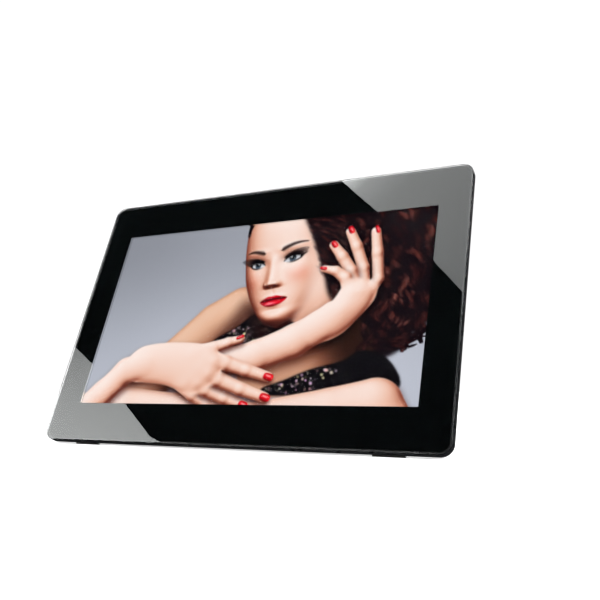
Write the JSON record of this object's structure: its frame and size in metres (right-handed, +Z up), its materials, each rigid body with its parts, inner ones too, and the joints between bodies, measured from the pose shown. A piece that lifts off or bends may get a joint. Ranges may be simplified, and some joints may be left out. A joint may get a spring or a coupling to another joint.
{
  "type": "digital photo frame",
  "caption": "Free-standing digital photo frame with a slim gloss black front, a wide display, rear buttons and ports, and a fold-out leg.",
  "frame": {"origin": "on the surface it stands on, under the centre of the object's box", "axes": "+X to the viewer's right along the frame's width, +Y away from the viewer, +Z up; the screen faces -Y and leans back"},
  "size_m": [0.262, 0.0896, 0.1661],
  "materials": {
    "clear_acrylic": "clear, polished",
    "gloss_black": "gloss print",
    "case_black": "fine matte grain",
    "key_black": "satin",
    "rubber_black": "matte",
    "display_glass": "satin polariser",
    "optical_white": "satin",
    "sheet_steel": "rolled sheet",
    "screw_steel": "blackened",
    "board_green": "solder mask",
    "chip_black": "moulded epoxy",
    "foam_grey": "foam tape",
    "cable_white": "film"
  },
  "bodies": {
    "frame": {"backlight_tray": "sheet_steel", "bezel_mask": "gloss_black", "board_screw_1": "screw_steel", "board_screw_2": "screw_steel", "board_screw_3": "screw_steel", "board_screw_4": "screw_steel", "button_board": "board_green", "case_screw_1": "screw_steel", "case_screw_2": "screw_steel", "case_screw_3": "screw_steel", "case_screw_4": "screw_steel", "case_screw_5": "screw_steel", "case_screw_6": "screw_steel", "dc_jack": "chip_black", "diffuser_film": "optical_white", "display_cable": "cable_white", "driver_board": "board_green", "flash_memory": "chip_black", "foot_left": "rubber_black", "foot_right": "rubber_black", "front_frame": "case_black", "front_panel": "clear_acrylic", "front_tape": "foam_grey", "headphone_jack": "chip_black", "hinge_pin": "screw_steel", "ir_board": "board_green", "ir_receiver": "chip_black", "lcd_glass": "display_glass", "lcd_mould_frame": "optical_white", "led_strip": "optical_white", "light_guide": "optical_white", "main_board": "board_green", "prism_film": "optical_white", "processor": "chip_black", "rear_cover": "case_black", "reflector_film": "optical_white", "sd_card_slot": "sheet_steel", "speaker_left": "chip_black", "speaker_right": "chip_black", "switch_exit": "chip_black", "switch_menu": "chip_black", "switch_next": "chip_black", "switch_play": "chip_black", "switch_power": "chip_black", "switch_previous": "chip_black", "switch_volume": "chip_black", "usb_port": "sheet_steel", "washer_left": "sheet_steel", "washer_right": "sheet_steel"},
    "stand": {"stand_leg": "case_black", "leg_pad": "rubber_black"},
    "power_button": {"button_power": "key_black"},
    "menu_button": {"button_menu": "key_black"},
    "exit_button": {"button_exit": "key_black"},
    "next_button": {"button_next": "key_black"},
    "play_button": {"button_play": "key_black"},
    "previous_button": {"button_previous": "key_black"},
    "volume_button": {"button_volume": "key_black"}
  },
  "joints": [
    {"name": "stand_hinge", "type": "hinge", "parent": "frame", "child": "stand", "pos_m": [0, 0.00955, 0.07747], "axis": [1, 0, 0], "range_deg": [-45.24, 0]},
    {"name": "power_press", "type": "slide", "parent": "frame", "child": "power_button", "axis": [0, -0.9239, 0.3827], "range_m": [0, 0.0006], "stiffness_N_per_m": 1800},
    {"name": "menu_press", "type": "slide", "parent": "frame", "child": "menu_button", "axis": [0, -0.9239, 0.3827], "range_m": [0, 0.0006], "stiffness_N_per_m": 1800},
    {"name": "exit_press", "type": "slide", "parent": "frame", "child": "exit_button", "axis": [0, -0.9239, 0.3827], "range_m": [0, 0.0006], "stiffness_N_per_m": 1800},
    {"name": "next_press", "type": "slide", "parent": "frame", "child": "next_button", "axis": [0, -0.9239, 0.3827], "range_m": [0, 0.0006], "stiffness_N_per_m": 1800},
    {"name": "play_press", "type": "slide", "parent": "frame", "child": "play_button", "axis": [0, -0.9239, 0.3827], "range_m": [0, 0.0006], "stiffness_N_per_m": 1800},
    {"name": "previous_press", "type": "slide", "parent": "frame", "child": "previous_button", "axis": [0, -0.9239, 0.3827], "range_m": [0, 0.0006], "stiffness_N_per_m": 1800},
    {"name": "volume_press", "type": "slide", "parent": "frame", "child": "volume_button", "axis": [0, -0.9239, 0.3827], "range_m": [0, 0.0006], "stiffness_N_per_m": 1800}
  ]
}
